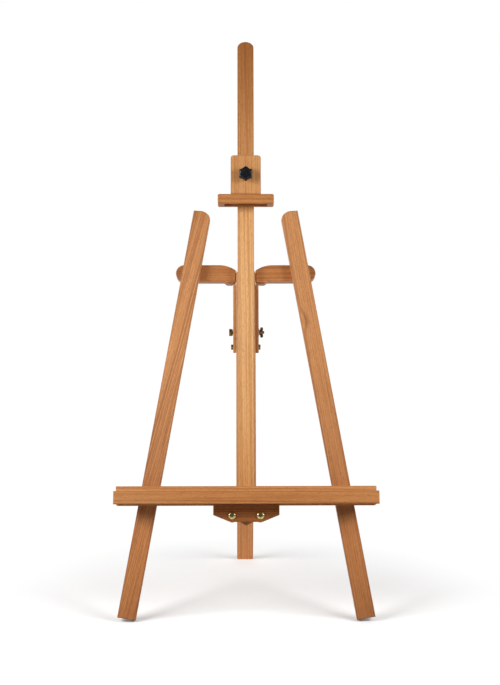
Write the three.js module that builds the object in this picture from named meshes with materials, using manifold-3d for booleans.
// Wooden artist easel: a leaning front frame with a sliding mast, a sliding canvas clamp,
// a sliding tray, two folding front legs on hinged wings, and a folding rear leg.
//
// The whole front frame is drawn in its own leaning plane. There, X runs to the right,
// Y runs to the rear (0 is the front face of the mast and legs) and Z runs up the mast
// from the floor. One group tilts that plane back, and a last shift puts the origin at
// the bottom centre of the finished easel. Units are millimetres, +Z is up.

import * as THREE from 'three';
import { ConvexGeometry } from 'three/addons/geometries/ConvexGeometry.js';
import { mergeVertices } from 'three/addons/utils/BufferGeometryUtils.js';
import Module from 'manifold-3d';

const wasm = await Module();
wasm.setup();

// ---------------------------------------------------------------- driving dimensions

const GAP = 0.3;                       // clearance between touching faces
const EASE = 1.5;                      // eased arris on every board
const OVER = 5;                        // how far a cutting tool reaches past a face
const SHANK = 4;                       // radius of every M8 shank
const HEX = 13;                        // width of a hexagon across its flats

// Radii of the holes for M8 shanks, from a drilled clearance hole to a blind hole in wood.
const BORE = { loose: 4.5, washer: 4.4, leg: 4.35, nut: 4.3, wood: 4.25 };
const LEAN = THREE.MathUtils.degToRad(13);

const MAST = { width: 42.6, thick: 22, bottom: 229.6, top: 1496.5, point: 13, crown: 16.5 };
const SPINE = { width: 50, thick: 22, bottom: 247, top: 893, neck: 40, shoulder: 881.5, dip: 878.5 };
const SLOT = { bottom: 415, top: 886, neck: 9, neckDepth: 5.8, head: 17.5, headDepth: 7.2 };

const LEG = { width: 45.4, thick: 22, splay: THREE.MathUtils.degToRad(10.12), inner: 273.3, bottom: 0.7 };
const LEG_TIP = { rise: 2, across: 26.5, down: 20.3 };
const LEG_TOP = 1037;                  // height of the square outer corner of a leg
const WING = { thick: 34, low: 854.3, high: 897, outer: 181, inner: 26, arcX: 68.7, arcZ: 824 };
const WING_PIVOT = { x: 42, z: 880 };
const LEG_PIVOT = { x: 140.3, z: 875 };

const WING_HEEL = {
  low: 848.6, start: 58, mid: 52, end: 46, toe: 37.5, curl: 33, curlZ: 848.9, innerZ: 852,
};

const CROSSHEAD = { half: 54, bottom: 860, top: 893, rear: 68, step: 56.6, core: 20, coreBottom: 847 };
const CROSSHEAD_NOTCH = { x: 34, rim: 888, floor: 880 };
const CHEEK = { thick: 7.6, bottom: 666.8, top: 846.3, front: 22.3, endRadius: 15 };
const CHEEK_WAIST = {
  rise: 48, lowZ: 780, midY: 62, midZ: 790, highY: 52, highZ: 832, cornerY: 50, topY: 40,
};
const CHEEK_CORNER = { clear: 4, inset: 3, drop: 46, depth: 16 };
const REAR_PIVOT = { y: 86.5, z: 690.8 };
const REAR_LEG = { width: 47, thick: 24, open: THREE.MathUtils.degToRad(39.5), lock: 45 };

const TRAY = { half: 324.6, bottom: 284, lipTop: 316, backBottom: 279.8, backTop: 328.3 };
const TRAY_DEPTH = { lipFront: -70.3, lipBack: -58.6, backFront: -12.3, backRear: -GAP };
const BRACKET = { half: 82, foot: 40, bottom: 239.9, knee: 256.8, top: 284.7, thick: 20 };
const CLAMP_BOARD = { half: 53, bottom: 241.7, top: 290, front: 44.6, rear: 56.8 };
const TRAY_BOLT = { x: 35.4, z: 255.8, headRadius: 9.4, headHeight: 4.6 };

const CLAMP = { half: 38.8, bottom: 1071.2, top: 1174.6, front: -33.3, side: 22.2, rear: 34 };
const BAR = { half: 72, bottom: 1045.1, top: 1070.6, front: -37.3 };
const CLAMP_KNOB = { z: 1120.4, front: -57, back: -38.5 };
const KNOB = { radius: 17.3, lobe: 1.5, lobes: 6, sharpness: 1.4, boss: 10.5, bossLength: 4.5 };
const MAST_LOCK = { z: 874, boltHalf: 8, boltThick: 6.2 };
const LOCK_BOLT_END = { left: -43.6, right: 48 };
const SCREW = { crosshead: 38, cheek: 22 };

// ---------------------------------------------------------------- materials

const finish = (color, roughness, metalness = 0) =>
  new THREE.MeshStandardMaterial({ color, roughness, metalness });
const paleWood = () => finish(0xd9a066, 0.62);
const legWood = () => finish(0xcd8f5c, 0.62);
const midWood = () => finish(0xbf7e48, 0.62);
const deepWood = () => finish(0xa86a3a, 0.65);
const brass = () => finish(0x9a8a4c, 0.35, 1);
const steel = () => finish(0x9c9c98, 0.4, 1);
const blackPlastic = () => finish(0x16171a, 0.38);
const felt = () => finish(0x3a3a38, 0.95);

// ---------------------------------------------------------------- shape helpers

// Drawing planes: an outline's x and y, and the direction it is extruded in.
const FACING_FRONT = new THREE.Matrix4().makeBasis(
  new THREE.Vector3(1, 0, 0), new THREE.Vector3(0, 0, 1), new THREE.Vector3(0, -1, 0));
const FACING_SIDE = new THREE.Matrix4().makeBasis(
  new THREE.Vector3(0, 1, 0), new THREE.Vector3(0, 0, 1), new THREE.Vector3(1, 0, 0));

function outline(points) {
  return new THREE.Shape(points.map(([x, y]) => new THREE.Vector2(x, y)));
}

function rectangle(x0, y0, x1, y1) {
  return outline([[x0, y0], [x1, y0], [x1, y1], [x0, y1]]);
}

function punch(shape, x, y, radius) {
  const hole = new THREE.Path();
  hole.absarc(x, y, radius, 0, 2 * Math.PI, true);
  shape.holes.push(hole);
  return shape;
}

// A board of the given thickness with an eased edge, lying from z = 0 to z = thick.
function board(shape, thick, ease = EASE, curveSegments = 10) {
  return new THREE.ExtrudeGeometry(shape, {
    depth: thick - 2 * ease,
    bevelEnabled: ease > 0,
    bevelThickness: ease,
    bevelSize: ease,
    bevelOffset: -ease,
    bevelSegments: 1,
    curveSegments,
  }).translate(0, 0, ease);
}

// A board drawn as seen from the front, between the depths y = front and y = rear.
function frontBoard(shape, front, rear, ease = EASE, curveSegments = 10) {
  return board(shape, rear - front, ease, curveSegments).applyMatrix4(FACING_FRONT).translate(0, rear, 0);
}

// A board drawn in profile as (y, z), between x = left and x = right.
function sideBoard(shape, left, right, ease = EASE, curveSegments = 10) {
  return board(shape, right - left, ease, curveSegments).applyMatrix4(FACING_SIDE).translate(left, 0, 0);
}

// A turned solid: profile pairs of [radius, height] about +Y, from front to rear.
function turned(profile, segments = 24) {
  const points = profile.map(([r, h]) => new THREE.Vector2(r, h));
  return new THREE.LatheGeometry(points, segments);
}

function rodAlongY(radius, front, rear, segments = 20) {
  return turned([[0, front], [radius, front], [radius, rear], [0, rear]], segments);
}

function alongX(geometry) {
  return geometry.rotateZ(-Math.PI / 2);
}

function toSolid(geometry) {
  const bare = geometry.clone();
  bare.deleteAttribute('normal');
  bare.deleteAttribute('uv');
  const merged = mergeVertices(bare, 1e-4);
  return new wasm.Manifold(new wasm.Mesh({
    numProp: 3,
    vertProperties: new Float32Array(merged.attributes.position.array),
    triVerts: new Uint32Array(merged.index.array),
  }));
}

function toGeometry(solid) {
  const { vertProperties, triVerts } = solid.getMesh();
  const geometry = new THREE.BufferGeometry();
  geometry.setAttribute('position', new THREE.BufferAttribute(vertProperties, 3));
  geometry.setIndex(new THREE.BufferAttribute(triVerts, 1));
  geometry.computeVertexNormals();
  return geometry;
}

function cut(base, ...tools) {
  return toGeometry(tools.reduce((solid, tool) => solid.subtract(toSolid(tool)), toSolid(base)));
}

function join(base, ...others) {
  return toGeometry(others.reduce((solid, other) => solid.add(toSolid(other)), toSolid(base)));
}

function block(x0, x1, y0, y1, z0, z1) {
  return new THREE.BoxGeometry(x1 - x0, y1 - y0, z1 - z0)
    .translate((x0 + x1) / 2, (y0 + y1) / 2, (z0 + z1) / 2);
}

// ---------------------------------------------------------------- hardware

const piece = (name, geometry, material) => {
  const mesh = new THREE.Mesh(geometry, material);
  mesh.name = name;
  return mesh;
};

// A pan-head bolt along Y with a cross recess in its head, which faces the front.
function crossHeadBolt(headFront, end) {
  const { headRadius, headHeight } = TRAY_BOLT;
  const seat = headFront + headHeight;
  const bolt = turned([
    [0, headFront], [headRadius * 0.62, headFront + 0.4], [headRadius * 0.9, headFront + 1.6],
    [headRadius, headFront + 3], [headRadius, seat], [SHANK, seat], [SHANK, end], [0, end],
  ], 32);
  const arm = headRadius * 0.55;
  const slotHalf = 0.95;
  const slotDepth = headFront + 2.4;
  return cut(bolt,
    block(-arm, arm, headFront - 2, slotDepth, -slotHalf, slotHalf),
    block(-slotHalf, slotHalf, headFront - 2, slotDepth, -arm, arm));
}

// A wing nut on a bolt along Y: a tapered hub with two thick paddle-shaped ears, and a clear
// bore. The ears stand clear of the seat on the hub.
function wingNut(seat, span, hubRadius, hubHeight) {
  const hub = turned([
    [0, seat], [hubRadius, seat], [hubRadius * 0.82, seat + hubHeight], [0, seat + hubHeight],
  ], 24);
  const half = span / 2;
  const low = seat + hubHeight * 0.32;
  const high = seat + hubHeight * 1.4;
  const corner = 2.5;
  const earHalf = 3.4;
  const ear = new THREE.Shape();
  ear.moveTo(low + 0.8, 0);
  ear.lineTo(low, half * 0.5);
  ear.lineTo(low, half - corner);
  ear.quadraticCurveTo(low, half, low + corner, half);
  ear.lineTo(high - corner, half);
  ear.quadraticCurveTo(high, half, high, half - corner);
  ear.lineTo(high, half * 0.6);
  ear.quadraticCurveTo(high, half * 0.35, seat + hubHeight * 0.9, 0);
  const upper = sideBoard(ear, -earHalf, earHalf, 1.6, 4);
  const lower = upper.clone().rotateY(Math.PI);
  const nut = join(hub, upper, lower);
  return cut(nut, rodAlongY(BORE.nut, seat - OVER, high + OVER, 20));
}

// A six-lobed star knob about Y. The grip faces the front, and the boss the rear.
function starKnob(front, rear) {
  const grip = new THREE.Shape();
  const steps = 48;
  for (let i = 0; i < steps; i += 1) {
    const angle = (i / steps) * 2 * Math.PI;
    const swell = (1 + Math.cos(KNOB.lobes * (angle - Math.PI / 2))) / 2;
    const radius = KNOB.radius + KNOB.lobe * (2 * swell ** KNOB.sharpness - 1);
    const move = i === 0 ? 'moveTo' : 'lineTo';
    grip[move](radius * Math.cos(angle), radius * Math.sin(angle));
  }
  const bossFront = rear - KNOB.bossLength;
  const star = frontBoard(grip, front, bossFront, 2.2);
  return join(star, rodAlongY(KNOB.boss, bossFront - 1, rear, 28));
}

function hexPrism(acrossFlats, from, to) {
  return rodAlongY(acrossFlats / Math.sqrt(3), from, to, 6);
}

// A countersunk screw along Y whose head is flush with a face at y = face.
// direction 1 drives it towards +Y, and -1 towards -Y.
function countersunkScrew(face, length, direction) {
  const headRadius = 3.8;
  const coreRadius = 1.9;
  const headDepth = 2.4;
  const at = (distance) => face + direction * distance;
  const profile = [
    [0, at(0.2)], [headRadius, at(0.2)], [coreRadius, at(headDepth)],
    [coreRadius, at(length - 3)], [0, at(length)],
  ];
  return turned(direction > 0 ? profile : profile.reverse(), 16);
}

// The countersunk hole for such a screw, with a clear gap all round it.
function screwPocket(face, length, direction) {
  const at = (distance) => face + direction * distance;
  const sinkRadius = 4.2;
  const holeRadius = 2.25;
  const holeDepth = length + 0.6;
  const profile = [
    [0, at(-1)], [sinkRadius, at(-1)], [sinkRadius, at(0.2)],
    [holeRadius, at(2.75)], [holeRadius, at(holeDepth)], [0, at(holeDepth)],
  ];
  return turned(direction > 0 ? profile : profile.reverse(), 16);
}

// ---------------------------------------------------------------- spine and crosshead

const CROSSHEAD_SCREWS = [[-13.5, -18.5], [13.5, -18.5], [-14, 13.2], [14, 13.2]];
const CHEEK_SCREW_HEIGHTS = [705, 812];
const CHEEK_SCREW_Y = 33.3;
const CHEEK_OUTER = SPINE.width / 2 + GAP + CHEEK.thick;

function spineBoard() {
  const half = SPINE.width / 2;
  const front = MAST.thick + GAP;
  const neck = SPINE.neck / 2;
  const shape = outline([
    [-half, SPINE.bottom], [half, SPINE.bottom], [half, SPINE.shoulder], [neck, SPINE.dip], [neck, SPINE.top],
    [-neck, SPINE.top], [-neck, SPINE.dip], [-half, SPINE.shoulder],
  ]);
  punch(shape, 0, MAST_LOCK.z, BORE.loose);
  const plank = frontBoard(shape, front, front + SPINE.thick);
  const crossheadPockets = CROSSHEAD_SCREWS.map(([x, dz]) =>
    screwPocket(CROSSHEAD.rear, SCREW.crosshead, -1).translate(x, 0, MAST_LOCK.z + dz));
  const cheekPockets = [-1, 1].flatMap((side) => CHEEK_SCREW_HEIGHTS.map((z) =>
    alongX(screwPocket(0, SCREW.cheek, 1)).rotateZ(side > 0 ? Math.PI : 0)
      .translate(side * CHEEK_OUTER, CHEEK_SCREW_Y, z)));
  return cut(plank, ...crossheadPockets, ...cheekPockets);
}

// A block behind the spine, hidden by the wings in front of its arms. The arms are rebated, so
// that the wings can turn in front of them.
function crossheadBlock() {
  const { half, bottom, top, rear, step, core, coreBottom } = CROSSHEAD;
  const front = MAST.thick + 2 * GAP + SPINE.thick;
  const { x: notch, rim, floor } = CROSSHEAD_NOTCH;
  const arm = [
    [core, coreBottom], [core, bottom], [half, bottom], [half, top],
    [notch, rim], [core, floor], [core, top],
  ];
  const shape = outline([...arm, ...arm.map(([x, z]) => [-x, z]).reverse()]);
  for (const side of [-1, 1]) punch(shape, side * WING_PIVOT.x, WING_PIVOT.z, BORE.loose);
  punch(shape, 0, MAST_LOCK.z, BORE.loose);
  const plank = frontBoard(shape, front, rear);
  const rebate = (side) => {
    const inner = side * (SPINE.width / 2);
    const outer = side * (half + OVER);
    const [left, right] = side < 0 ? [outer, inner] : [inner, outer];
    return block(left, right, front - OVER, step, bottom - OVER, top + OVER);
  };
  const pockets = CROSSHEAD_SCREWS.map(([x, dz]) =>
    screwPocket(rear, SCREW.crosshead, -1).translate(x, 0, MAST_LOCK.z + dz));
  return cut(plank, rebate(-1), rebate(1), ...pockets);
}

// A cheek carries the rear leg's pivot, and an arc slot for its lock bolt.
function cheek(side) {
  const { bottom, top, front } = CHEEK;
  const pivot = REAR_PIVOT;
  const round = CHEEK.endRadius;
  const shape = new THREE.Shape();
  shape.moveTo(front, bottom);
  shape.lineTo(pivot.y, pivot.z - round);
  shape.absarc(pivot.y, pivot.z, round, -Math.PI / 2, 0, false);
  const { rise, lowZ, midY, midZ, highY, highZ, cornerY, topY } = CHEEK_WAIST;
  shape.lineTo(pivot.y + round, pivot.z + rise);
  shape.bezierCurveTo(pivot.y + round, lowZ, midY, midZ, highY, highZ);
  shape.quadraticCurveTo(cornerY, top, topY, top);
  shape.lineTo(front, top);
  punch(shape, pivot.y, pivot.z, BORE.nut);
  const slot = new THREE.Path();
  const halfWidth = BORE.loose;
  const play = 0.01;
  const upright = Math.PI / 2 - play;
  const opened = Math.PI / 2 + REAR_LEG.open + play;
  const end = (angle) => [
    pivot.y + REAR_LEG.lock * Math.cos(angle),
    pivot.z + REAR_LEG.lock * Math.sin(angle),
  ];
  slot.absarc(pivot.y, pivot.z, REAR_LEG.lock + halfWidth, upright, opened, false);
  slot.absarc(...end(opened), halfWidth, opened, opened + Math.PI, false);
  slot.absarc(pivot.y, pivot.z, REAR_LEG.lock - halfWidth, opened, upright, true);
  slot.absarc(...end(upright), halfWidth, upright + Math.PI, upright + 2 * Math.PI, false);
  shape.holes.push(slot);
  const near = SPINE.width / 2 + GAP;
  const plate = side < 0
    ? sideBoard(shape, -near - CHEEK.thick, -near, 1, 6)
    : sideBoard(shape, near, near + CHEEK.thick, 1, 6);
  const pockets = CHEEK_SCREW_HEIGHTS.map((z) =>
    alongX(screwPocket(0, SCREW.cheek, 1)).rotateZ(side > 0 ? Math.PI : 0)
      .translate(side * CHEEK_OUTER, CHEEK_SCREW_Y, z));
  return cut(plate, ...pockets, ...(side > 0 ? [cornerCut()] : []));
}

// A slanted cut that takes off the right cheek's upper front corner.
function cornerCut() {
  const inner = SPINE.width / 2 + GAP;
  const outer = inner + CHEEK.thick;
  const { clear, inset, drop, depth } = CHEEK_CORNER;
  const x = outer + clear;
  const y = CHEEK.front - clear;
  const z = CHEEK.top + clear;
  return new ConvexGeometry([
    new THREE.Vector3(x, y, z),
    new THREE.Vector3(inner - inset, y, z),
    new THREE.Vector3(x, y, CHEEK.top - drop),
    new THREE.Vector3(x, CHEEK.front + depth, z),
  ]);
}

function spineAndCrosshead() {
  const pieces = [
    piece('spine_board', spineBoard(), paleWood()),
    piece('crosshead_block', crossheadBlock(), midWood()),
    piece('left_cheek', cheek(-1), midWood()),
    piece('right_cheek', cheek(1), deepWood()),
  ];
  CROSSHEAD_SCREWS.forEach(([x, dz], i) => {
    const screw = countersunkScrew(CROSSHEAD.rear, SCREW.crosshead, -1)
      .translate(x, 0, MAST_LOCK.z + dz);
    pieces.push(piece(`crosshead_screw_${i + 1}`, screw, brass()));
  });
  for (const [side, label] of [[-1, 'left'], [1, 'right']]) {
    CHEEK_SCREW_HEIGHTS.forEach((z, i) => {
      const screw = alongX(countersunkScrew(0, SCREW.cheek, 1)).rotateZ(side > 0 ? Math.PI : 0)
        .translate(side * CHEEK_OUTER, CHEEK_SCREW_Y, z);
      pieces.push(piece(`${label}_cheek_screw_${i + 1}`, screw, brass()));
    });
  }
  return pieces;
}

// ---------------------------------------------------------------- mast and its lock

// The mast has a low round crown, a pointed foot and a T-slot hidden in its rear face.
function mastBoard() {
  const half = MAST.width / 2;
  const shoulder = MAST.top - MAST.crown;
  const shape = new THREE.Shape();
  shape.moveTo(0, MAST.bottom);
  shape.lineTo(half, MAST.bottom + MAST.point);
  shape.lineTo(half, shoulder);
  shape.absellipse(0, shoulder, half, MAST.crown, 0, Math.PI, false, 0);
  shape.lineTo(-half, MAST.bottom + MAST.point);
  const plank = frontBoard(shape, 0, MAST.thick, EASE, 14);
  const neckFloor = MAST.thick - SLOT.neckDepth;
  const neck = block(-SLOT.neck / 2, SLOT.neck / 2, neckFloor - 1, MAST.thick + OVER, SLOT.bottom, SLOT.top);
  const head = block(-SLOT.head / 2, SLOT.head / 2, neckFloor - SLOT.headDepth, neckFloor,
    SLOT.bottom, SLOT.top);
  return cut(plank, neck, head);
}

// The lock bolt's square head rides in the T-slot, and its shank ends inside the rear knob,
// short of the knob's closed floor.
const MAST_KNOB_SEAT = 71;
const MAST_KNOB_END = 92;
const KNOB_FLOOR = 7.2;

function mastLockBolt() {
  const neckFloor = MAST.thick - SLOT.neckDepth;
  const { boltHalf: half, boltThick: thick } = MAST_LOCK;
  const headRear = neckFloor - 0.4;
  const head = block(-half, half, headRear - thick, headRear, -half, half);
  const shank = rodAlongY(SHANK, headRear - 1.6, MAST_KNOB_END - KNOB_FLOOR - 0.8, 20);
  return join(head, shank).translate(0, 0, MAST_LOCK.z);
}

function rearStarKnob() {
  const knob = starKnob(-MAST_KNOB_END, -MAST_KNOB_SEAT).rotateZ(Math.PI);
  const bore = rodAlongY(BORE.leg, MAST_KNOB_SEAT - 1, MAST_KNOB_END - KNOB_FLOOR, 20);
  return cut(knob, bore).translate(0, 0, MAST_LOCK.z);
}

function washer(inner, outer, from, to) {
  return turned([[inner, from], [outer, from], [outer, to], [inner, to], [inner, from]], 18);
}

function mastAndLock() {
  const lockWasher = washer(BORE.washer, 11.5, CROSSHEAD.rear + GAP, MAST_KNOB_SEAT - GAP);
  return [
    piece('mast_board', mastBoard(), paleWood()),
    piece('mast_lock_bolt', mastLockBolt(), steel()),
    piece('mast_lock_washer', lockWasher.translate(0, 0, MAST_LOCK.z), steel()),
    piece('mast_lock_knob', rearStarKnob(), blackPlastic()),
  ];
}

// ---------------------------------------------------------------- canvas clamp

const SCREW_TIP = -12;
const PAD_POCKET = { half: 15, front: -9 };
const PAD = { front: -8.6, rear: -3.2 };

function clampBlock() {
  const { half, bottom, top, front } = CLAMP;
  const corner = 7.5;
  const shape = new THREE.Shape();
  shape.moveTo(-half, bottom);
  shape.lineTo(half, bottom);
  shape.lineTo(half, top - corner);
  shape.absarc(half - corner, top - corner, corner, 0, Math.PI / 2, false);
  shape.lineTo(-half + corner, top);
  shape.absarc(-half + corner, top - corner, corner, Math.PI / 2, Math.PI, false);
  punch(shape, 0, CLAMP_KNOB.z, BORE.washer);
  const plank = frontBoard(shape, front, -2 * GAP);
  const { half: pocket, front: floor } = PAD_POCKET;
  const recess = block(-pocket, pocket, floor, OVER, CLAMP_KNOB.z - pocket, CLAMP_KNOB.z + pocket);
  return cut(plank, recess);
}

// A side rail of the clamp, which slides along one edge of the mast.
function clampRail(side) {
  const inner = MAST.width / 2 + 0.5;
  const shape = side < 0
    ? rectangle(-CLAMP.half, CLAMP.bottom, -inner, CLAMP.top)
    : rectangle(inner, CLAMP.bottom, CLAMP.half, CLAMP.top);
  return frontBoard(shape, -GAP, CLAMP.side, 1.2);
}

function clampBackPlate() {
  const { half, bottom, top, side, rear } = CLAMP;
  return frontBoard(rectangle(-half, bottom, half, top), side + GAP, rear);
}

// The bar that grips the canvas has a shallow stopped groove in its underside.
const GROOVE = { half: 55, front: -31, rear: -9, depth: 6.5 };

function clampBar() {
  const { half, bottom, top, front } = BAR;
  const nip = 2.5;
  const corner = 3.5;
  const shape = outline([
    [half, bottom + nip], [half, top - corner], [half - 0.3 * corner, top - 0.3 * corner],
    [half - corner, top], [corner - half, top], [0.3 * corner - half, top - 0.3 * corner],
    [-half, top - corner], [-half, bottom + nip], [nip - half, bottom], [half - nip, bottom],
  ]);
  const bar = frontBoard(shape, front, -GAP);
  const { half: grooveHalf, depth } = GROOVE;
  return cut(bar, block(
    -grooveHalf, grooveHalf, GROOVE.front, GROOVE.rear, bottom - OVER, bottom + depth));
}

// Two dowels tie the bar to the block above it.
const DOWEL = { x: 28, y: -19, radius: 4, halfLength: 9.5, fit: 0.15, endGap: 0.5 };

function uprightRod(x, radius, halfLength) {
  return rodAlongY(radius, -halfLength, halfLength, 16)
    .rotateX(Math.PI / 2).translate(x, DOWEL.y, BAR.top);
}

function dowelHole(x) {
  return uprightRod(x, DOWEL.radius + DOWEL.fit, DOWEL.halfLength + DOWEL.endGap);
}

function dowel(x) {
  return uprightRod(x, DOWEL.radius, DOWEL.halfLength);
}

function clampScrew() {
  const shank = rodAlongY(SHANK, CLAMP_KNOB.front + KNOB_FLOOR + 0.8, SCREW_TIP, 20);
  return shank.translate(0, 0, CLAMP_KNOB.z);
}

function clampKnob() {
  const knob = starKnob(CLAMP_KNOB.front, CLAMP_KNOB.back);
  const bore = rodAlongY(BORE.nut, CLAMP_KNOB.front + KNOB_FLOOR - 0.2, CLAMP_KNOB.back + 1, 20);
  return cut(knob, bore).translate(0, 0, CLAMP_KNOB.z);
}

function canvasClamp() {
  const dowels = [-DOWEL.x, DOWEL.x];
  const padHalf = PAD_POCKET.half - 0.5;
  const z = CLAMP_KNOB.z;
  const plate = block(-padHalf, padHalf, PAD.front, PAD.rear, z - padHalf, z + padHalf);
  const socket = rodAlongY(3, PAD.front - 1.4, PAD.front + 1.6, 16).translate(0, 0, z);
  const bushing = washer(BORE.washer, 8.5, CLAMP.front - 3.5, CLAMP.front - GAP).translate(0, 0, z);
  return [
    piece('clamp_block', cut(clampBlock(), ...dowels.map(dowelHole)), midWood()),
    piece('clamp_left_rail', clampRail(-1), midWood()),
    piece('clamp_right_rail', clampRail(1), midWood()),
    piece('clamp_back_plate', clampBackPlate(), deepWood()),
    piece('clamp_bar', cut(clampBar(), ...dowels.map(dowelHole)), midWood()),
    piece('clamp_dowel_left', dowel(-DOWEL.x), paleWood()),
    piece('clamp_dowel_right', dowel(DOWEL.x), paleWood()),
    piece('clamp_pressure_pad', cut(plate, socket), felt()),
    piece('clamp_washer', bushing, steel()),
    piece('clamp_screw', clampScrew(), steel()),
    piece('clamp_knob', clampKnob(), blackPlastic()),
  ];
}

// ---------------------------------------------------------------- tray

function trayBackBoard() {
  const { half, backBottom, backTop } = TRAY;
  const nip = 4;
  const shape = outline([
    [-half + nip, backBottom], [half - nip, backBottom], [half, backBottom + nip],
    [half, backTop], [-half, backTop], [-half, backBottom + nip],
  ]);
  return frontBoard(shape, TRAY_DEPTH.backFront, TRAY_DEPTH.backRear);
}

function trayLip() {
  const { half, bottom, lipTop } = TRAY;
  const shape = rectangle(-half, bottom, half, lipTop);
  return frontBoard(shape, TRAY_DEPTH.lipFront, TRAY_DEPTH.lipBack);
}

function trayShelf() {
  const front = TRAY_DEPTH.lipBack + GAP;
  const rear = TRAY_DEPTH.backFront - GAP;
  const shape = rectangle(front, TRAY.bottom + 1, rear, TRAY.bottom + 10);
  return sideBoard(shape, -TRAY.half + 1, TRAY.half - 1, 0.8);
}

// The front half of the tray clamp: a board with a narrow foot and sloping shoulders. It reaches
// up to the shelf, and is rebated to clear the back board.
function trayBracket() {
  const { half, foot, bottom, knee, top, thick } = BRACKET;
  const shape = outline([
    [-foot, bottom], [foot, bottom], [half, knee], [half, top], [-half, top], [-half, knee],
  ]);
  for (const side of [-1, 1]) punch(shape, side * TRAY_BOLT.x, TRAY_BOLT.z, BORE.washer);
  const plank = frontBoard(shape, -GAP - thick, -GAP);
  const rebateFront = TRAY_DEPTH.backFront - GAP;
  return cut(plank, block(
    -half - OVER, half + OVER, rebateFront, OVER, TRAY.backBottom - GAP, top + OVER));
}

function trayClampBoard() {
  const { half, bottom, top, front, rear } = CLAMP_BOARD;
  const corner = 9;
  const shape = outline([
    [-half + corner, bottom], [half - corner, bottom], [half, bottom + corner],
    [half, top], [-half, top], [-half, bottom + corner],
  ]);
  for (const side of [-1, 1]) punch(shape, side * TRAY_BOLT.x, TRAY_BOLT.z, BORE.washer);
  return frontBoard(shape, front, rear);
}

// A stop behind the tray, just outside a front leg, which keeps the leg from spreading.
function legStop(side) {
  const legOuter = legEdge(TRAY.backTop) + 1;
  const legOuterLow = legEdge(TRAY.backBottom) + 1;
  const width = 16;
  const points = [
    [legOuterLow, TRAY.backBottom + 2], [legOuterLow + width, TRAY.backBottom + 2],
    [legOuter + width, TRAY.backTop - 2], [legOuter, TRAY.backTop - 2],
  ];
  const shape = side > 0 ? outline(points) : outline(points.map(([x, z]) => [-x, z]).reverse());
  return frontBoard(shape, 0, 18);
}

function tray() {
  const pieces = [
    piece('tray_back_board', trayBackBoard(), legWood()),
    piece('tray_lip', trayLip(), midWood()),
    piece('tray_shelf', trayShelf(), midWood()),
    piece('tray_bracket', trayBracket(), deepWood()),
    piece('tray_clamp_board', trayClampBoard(), deepWood()),
  ];
  const washerFront = CLAMP_BOARD.rear + GAP;
  const nutSeat = washerFront + 2;
  const boltEnd = nutSeat + 12.5;
  for (const [side, label] of [[-1, 'left'], [1, 'right']]) {
    const place = (geometry) => geometry.translate(side * TRAY_BOLT.x, 0, TRAY_BOLT.z);
    const headFront = -2 * GAP - BRACKET.thick - TRAY_BOLT.headHeight;
    pieces.push(
      piece(`${label}_leg_stop`, legStop(side), midWood()),
      piece(`${label}_tray_bolt`, place(crossHeadBolt(headFront, boltEnd)), brass()),
      piece(`${label}_tray_washer`, place(washer(BORE.washer, 10.5, washerFront, nutSeat - GAP)), steel()),
      piece(`${label}_tray_wing_nut`, place(wingNut(nutSeat, 39, 7.6, 9.5)), brass()),
    );
  }
  return pieces;
}

// ---------------------------------------------------------------- wings and front legs

// How far the wing hinge bolts and the leg hinge bolts reach into the wood.
const PIVOT_BITE = 21;
const LEG_BITE = 14;

// Half the crossbar. The top falls in an arc towards the mast, so that the wing can fold up
// past the spine, and the inner end drops to a heel beside the cheek.
function wingBoard(side) {
  const { low, high, outer, inner, arcX, arcZ, thick } = WING;
  const endRadius = (high - low) / 2;
  const arcRadius = high - arcZ;
  const arcEnd = Math.acos((arcX - inner) / arcRadius);
  const { low: heel, start, mid, end, toe, curl, curlZ, innerZ } = WING_HEEL;
  const shape = new THREE.Shape();
  shape.moveTo(start, low);
  shape.bezierCurveTo(mid, low, mid, heel, end, heel);
  shape.lineTo(toe, heel);
  shape.quadraticCurveTo(curl, curlZ, inner, innerZ);
  shape.absarc(arcX, arcZ, arcRadius, Math.PI - arcEnd, Math.PI / 2, true);
  shape.lineTo(outer - endRadius, high);
  shape.absarc(outer - endRadius, (low + high) / 2, endRadius, Math.PI / 2, -Math.PI / 2, true);
  const front = LEG.thick + GAP;
  const rear = front + thick;
  const plank = frontBoard(shape, front, rear, EASE, 8);
  const pivotBore = rodAlongY(BORE.wood, rear - PIVOT_BITE - 1, rear + OVER, 20)
    .translate(WING_PIVOT.x, 0, WING_PIVOT.z);
  const legBore = rodAlongY(BORE.washer, front - OVER, rear + OVER, 20)
    .translate(LEG_PIVOT.x, 0, LEG_PIVOT.z);
  const drilled = cut(plank, pivotBore, legBore);
  return side > 0 ? drilled : mirrored(drilled);
}

// A mirror image in X, with its triangles turned over so that they still face out.
function mirrored(geometry) {
  const flipped = geometry.clone().scale(-1, 1, 1);
  const index = flipped.index.array;
  for (let i = 0; i < index.length; i += 3) {
    const first = index[i];
    index[i] = index[i + 1];
    index[i + 1] = first;
  }
  flipped.computeVertexNormals();
  return flipped;
}

// Distance of a front leg's outer edge from the mast's centre line, at a given height.
function legEdge(z) {
  const { inner, width, splay } = LEG;
  return inner + width / Math.cos(splay) - (z - LEG.bottom) * Math.tan(splay);
}

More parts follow.
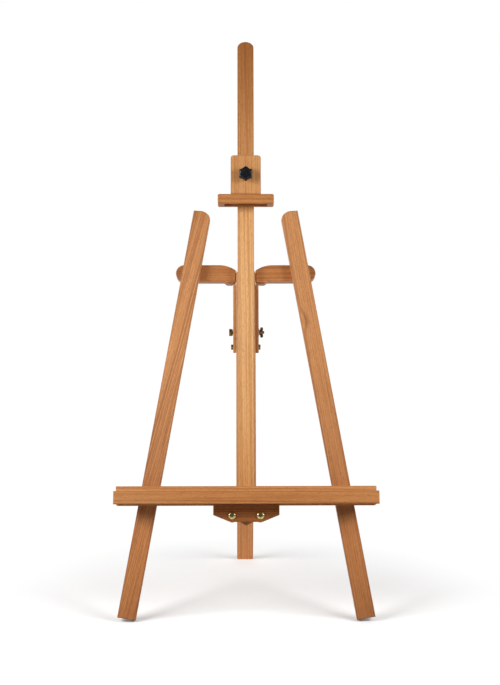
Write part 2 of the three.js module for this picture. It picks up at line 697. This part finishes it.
// A front leg is drawn upright from its inner bottom corner, then leant inwards. Its top rises
// a little from the square outer corner and rounds over to the inner edge.
function frontLeg(side) {
  const { width, thick, splay, inner, bottom } = LEG;
  const length = (LEG_TOP - bottom - width * Math.sin(splay)) / Math.cos(splay);
  const { rise, across, down } = LEG_TIP;
  const shape = new THREE.Shape();
  shape.moveTo(0, 0);
  shape.lineTo(width, 0);
  shape.lineTo(width, length);
  shape.lineTo(across, length + rise);
  shape.absellipse(across, length + rise - down, across, down, Math.PI / 2, Math.PI, false, 0);
  const leg = frontBoard(shape, 0, thick, EASE, 12);
  leg.rotateY(-splay).translate(inner, 0, bottom);
  const bore = rodAlongY(BORE.wood, thick - LEG_BITE - 1, thick + OVER, 20)
    .translate(LEG_PIVOT.x, 0, LEG_PIVOT.z);
  const drilled = cut(leg, bore);
  return side > 0 ? drilled : mirrored(drilled);
}

// A hex-head bolt whose head is at the rear, screwed forwards into a blind hole.
function rearHeadBolt(headFront, tip) {
  const head = hexPrism(HEX, headFront, headFront + 5.5);
  return join(head, rodAlongY(SHANK, tip, headFront + 1, 20));
}

function wingsAndLegs() {
  const pieces = [];
  const wingRear = LEG.thick + GAP + WING.thick;
  const washerThick = 1.6;
  const pivotHead = CROSSHEAD.rear + 2 * GAP + washerThick;
  const legHead = wingRear + 2 * GAP + washerThick;
  for (const [side, label] of [[-1, 'left'], [1, 'right']]) {
    const atWing = (geometry) => geometry.translate(side * WING_PIVOT.x, 0, WING_PIVOT.z);
    const atLeg = (geometry) => geometry.translate(side * LEG_PIVOT.x, 0, LEG_PIVOT.z);
    const pivotWasher = washer(BORE.washer, 9.5, CROSSHEAD.rear + GAP, pivotHead - GAP);
    const legWasher = washer(BORE.washer, 9.5, wingRear + GAP, legHead - GAP);
    pieces.push(
      piece(`${label}_wing`, wingBoard(side), deepWood()),
      piece(`${label}_wing_pivot_bolt`, atWing(rearHeadBolt(pivotHead, wingRear - PIVOT_BITE)), brass()),
      piece(`${label}_wing_washer`, atWing(pivotWasher), steel()),
      piece(`${label}_front_leg`, frontLeg(side), legWood()),
      piece(`${label}_leg_pivot_bolt`, atLeg(rearHeadBolt(legHead, LEG.thick - LEG_BITE)), brass()),
      piece(`${label}_leg_washer`, atLeg(legWasher), steel()),
    );
  }
  return pieces;
}

// ---------------------------------------------------------------- rear leg

// World height of the lowest front-leg corner, and of the rear pivot above it.
const FLOOR = LEG.bottom * Math.cos(LEAN) - LEG.thick * Math.sin(LEAN);
const PIVOT_HEIGHT = REAR_PIVOT.z * Math.cos(LEAN) - REAR_PIVOT.y * Math.sin(LEAN) - FLOOR;
const REAR_TILT = REAR_LEG.open - LEAN;
const REAR_LEG_REACH =
  (PIVOT_HEIGHT - (REAR_LEG.thick / 2) * Math.sin(REAR_TILT)) / Math.cos(REAR_TILT);

// The rear leg is drawn upright about its pivot, and its group turns it to the open angle.
function rearLegBoard() {
  const { width, thick, lock } = REAR_LEG;
  const half = thick / 2;
  const shape = new THREE.Shape();
  shape.moveTo(-half, -REAR_LEG_REACH);
  shape.lineTo(half, -REAR_LEG_REACH);
  shape.lineTo(half, lock);
  shape.absarc(0, lock, half, 0, Math.PI, false);
  punch(shape, 0, 0, BORE.leg);
  punch(shape, 0, lock, BORE.leg);
  const leg = sideBoard(shape, -width / 2, width / 2, EASE, 10);
  const corner = 4;
  const foot = new THREE.Vector3(width / 2, 0, -REAR_LEG_REACH);
  const trim = (side) => block(-corner, corner, -half - OVER, half + OVER, -corner, corner)
    .rotateY(Math.PI / 4)
    .translate(side * (foot.x + 0.4 * corner), 0, foot.z - 0.4 * corner);
  return cut(leg, trim(-1), trim(1));
}

const PIVOT_HEAD = 5.4;                // height of the pivot bolt's head, and of its nut

// A bolt across the rear leg, along X, with a hex head at its left end.
function pivotBolt() {
  const face = CHEEK_OUTER + GAP;
  const head = hexPrism(HEX, -face - PIVOT_HEAD, -face);
  return alongX(join(head, rodAlongY(SHANK, -face - 1, face + 5, 20)));
}

function pivotNut() {
  const face = CHEEK_OUTER + GAP;
  const nut = hexPrism(HEX, face, face + PIVOT_HEAD);
  return alongX(cut(nut, rodAlongY(BORE.nut, face - 1, face + PIVOT_HEAD + OVER, 20)));
}

// The rear leg's lock bolt, with a tall head that widens outwards.
function lockBolt() {
  const face = CHEEK_OUTER + GAP;
  const { left, right } = LOCK_BOLT_END;
  return alongX(turned([
    [0, left], [8.6, left], [9.8, left + 1.2], [9, -face - 2.2],
    [8, -face], [SHANK, -face], [SHANK, right], [0, right],
  ], 28));
}

function rearLegGroup() {
  const group = new THREE.Group();
  group.position.set(0, REAR_PIVOT.y, REAR_PIVOT.z);
  group.rotation.x = REAR_LEG.open;
  const face = CHEEK_OUTER + GAP;
  const spacerFrom = REAR_LEG.width / 2 + GAP;
  const spacerTo = SPINE.width / 2;
  const lockWasher = alongX(washer(BORE.washer, 10.5, face, face + 1.6)).translate(0, 0, REAR_LEG.lock);
  const lockNut = alongX(wingNut(face + 1.9, 27, 6.8, 7.2)).rotateX(-REAR_LEG.open)
    .translate(0, 0, REAR_LEG.lock);
  group.add(
    piece('rear_leg', rearLegBoard(), midWood()),
    piece('rear_lock_bolt', lockBolt().translate(0, 0, REAR_LEG.lock), brass()),
    piece('rear_lock_washer', lockWasher, steel()),
    piece('rear_lock_wing_nut', lockNut, brass()),
    piece('rear_pivot_bolt', pivotBolt(), brass()),
    piece('rear_pivot_nut', pivotNut(), brass()),
    piece('left_pivot_spacer', alongX(washer(BORE.nut, 11, -spacerTo, -spacerFrom)), steel()),
    piece('right_pivot_spacer', alongX(washer(BORE.nut, 11, spacerFrom, spacerTo)), steel()),
  );
  return group;
}

// ---------------------------------------------------------------- assembly

const frontPlane = new THREE.Group();
frontPlane.rotation.x = -LEAN;
frontPlane.add(
  ...spineAndCrosshead(),
  ...mastAndLock(),
  ...canvasClamp(),
  ...tray(),
  ...wingsAndLegs(),
  rearLegGroup(),
);

// The easel stands with its lowest corner on z = 0, and its footprint is centred on the origin.
const easel = new THREE.Group();
easel.add(frontPlane);
const extent = new THREE.Box3().setFromObject(easel, true);
frontPlane.position.set(0, -(extent.min.y + extent.max.y) / 2, -extent.min.z);

export default easel;
